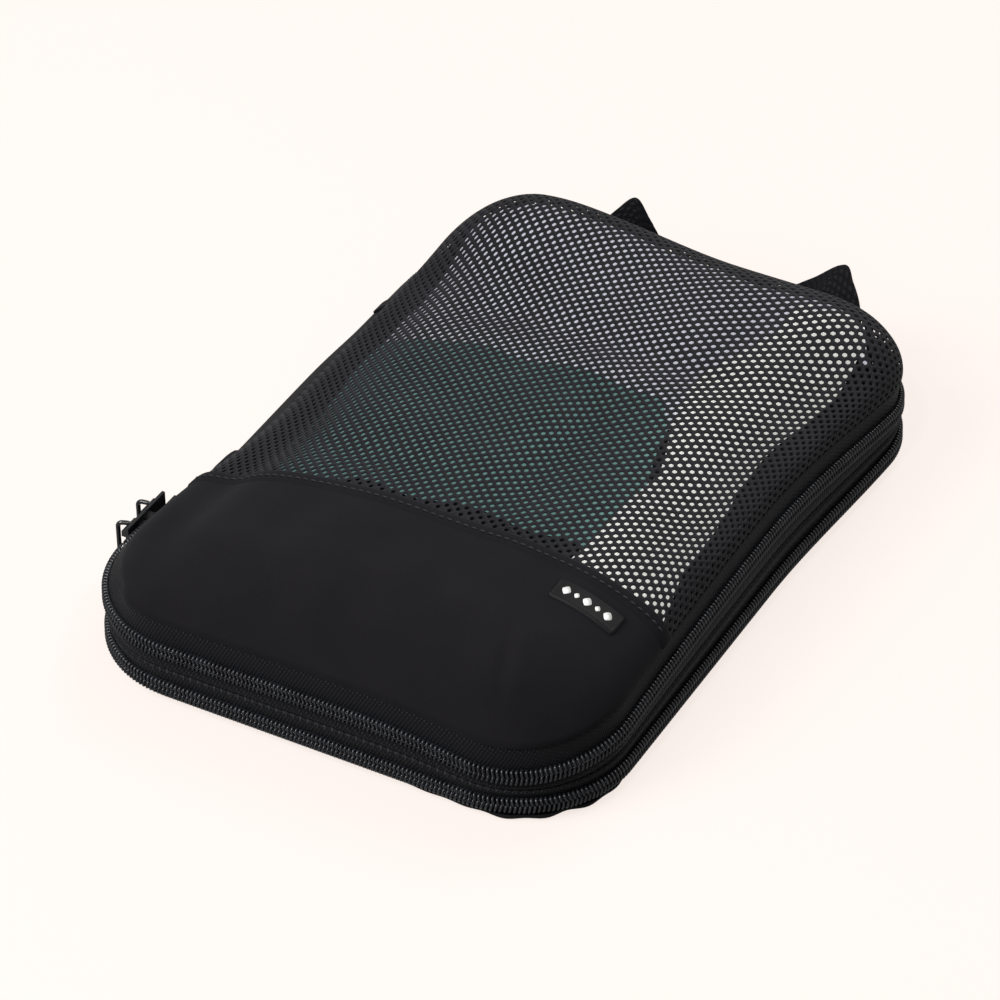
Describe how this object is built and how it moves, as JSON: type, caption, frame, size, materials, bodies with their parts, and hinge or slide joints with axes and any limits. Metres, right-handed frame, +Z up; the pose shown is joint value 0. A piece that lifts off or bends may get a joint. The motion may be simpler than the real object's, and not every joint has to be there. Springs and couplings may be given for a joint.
{
  "type": "packing cube",
  "caption": "Soft zipped travel packing cube with a mesh-window lid, a compression zip round the base and a webbing handle.",
  "frame": {"origin": "centre of the base's underside, on the surface the cube lies on", "axes": "+X right along the short side, +Y away along the long side towards the handle, +Z up"},
  "size_m": [0.1977, 0.2727, 0.0527],
  "materials": {
    "panel_fabric": "matt peach-skin polyester, black",
    "mesh_fabric": "open polyester mesh, black",
    "tape_fabric": "woven zip tape, black",
    "lining_fabric": "plain woven lining, black",
    "webbing": "woven webbing, black",
    "coil_plastic": "polyester coil, black, satin",
    "slider_metal": "black enamel on cast zinc",
    "label_rubber": "moulded rubber, black",
    "label_paint": "white rubber"
  },
  "bodies": {
    "base": {"base_panel": "panel_fabric", "base_binding": "lining_fabric", "comp_zip_lower_tape": "tape_fabric", "comp_zip_lower_coil": "coil_plastic", "gusset_fabric": "lining_fabric"},
    "frame": {"comp_zip_upper_tape": "tape_fabric", "comp_zip_upper_coil": "coil_plastic", "side_band": "lining_fabric", "frame_binding": "lining_fabric", "main_zip_lower_tape": "tape_fabric", "main_zip_lower_coil": "coil_plastic", "hinge_wall": "panel_fabric", "front_end_tape": "tape_fabric", "front_end_coil": "coil_plastic", "rear_end_tape": "tape_fabric", "rear_end_coil": "coil_plastic", "front_end_tab": "panel_fabric", "rear_end_tab": "panel_fabric"},
    "lid": {"front_panel": "panel_fabric", "mesh_panel": "mesh_fabric", "panel_seam_tape": "panel_fabric", "lid_binding": "lining_fabric", "main_zip_upper_tape": "tape_fabric", "main_zip_upper_coil": "coil_plastic", "label_patch": "label_rubber", "label_mark": "label_paint", "handle_anchor_left": "webbing", "handle_anchor_right": "webbing"},
    "handle": {"handle_strap": "webbing"},
    "front_slider_body": {"main_slider_front": "slider_metal"},
    "rear_slider_body": {"main_slider_rear": "slider_metal"},
    "comp_slider_body": {"comp_slider": "slider_metal"},
    "front_pull_body": {"front_pull": "slider_metal"},
    "rear_pull_body": {"rear_pull": "slider_metal"},
    "comp_pull_body": {"comp_pull": "slider_metal"}
  },
  "joints": [
    {"name": "expansion", "type": "slide", "parent": "base", "child": "frame", "axis": [0, 0, 1], "range_m": [0, 0.03], "deforming": ["gusset_fabric"]},
    {"name": "lid_hinge", "type": "hinge", "parent": "frame", "child": "lid", "pos_m": [-0.0925, 0, 0.032], "axis": [0, -1, 0], "range_deg": [0, 120]},
    {"name": "handle_swing", "type": "hinge", "parent": "lid", "child": "handle", "pos_m": [0.0175, 0.1285, 0.03], "axis": [1, 0, 0], "range_deg": [-12, 27]},
    {"name": "front_slider_travel", "type": "slide", "parent": "frame", "child": "front_slider_body", "axis": [0, -1, 0], "range_m": [0, 0.008]},
    {"name": "rear_slider_travel", "type": "slide", "parent": "frame", "child": "rear_slider_body", "axis": [0, 1, 0], "range_m": [0, 0.025]},
    {"name": "comp_slider_travel", "type": "slide", "parent": "base", "child": "comp_slider_body", "axis": [0, 1, 0], "range_m": [0, 0.095]},
    {"name": "front_pull_swing", "type": "hinge", "parent": "front_slider_body", "child": "front_pull_body", "pos_m": [-0.09725, -0.079, 0.0215], "axis": [0, 0, 1], "range_deg": [-60, 20]},
    {"name": "rear_pull_swing", "type": "hinge", "parent": "rear_slider_body", "child": "rear_pull_body", "pos_m": [-0.09725, -0.067, 0.0215], "axis": [0, 0, 1], "range_deg": [-50, 30]},
    {"name": "comp_pull_swing", "type": "hinge", "parent": "comp_slider_body", "child": "comp_pull_body", "pos_m": [-0.09725, -0.03, 0.006], "axis": [0, 0, 1], "range_deg": [-153, 7]}
  ]
}
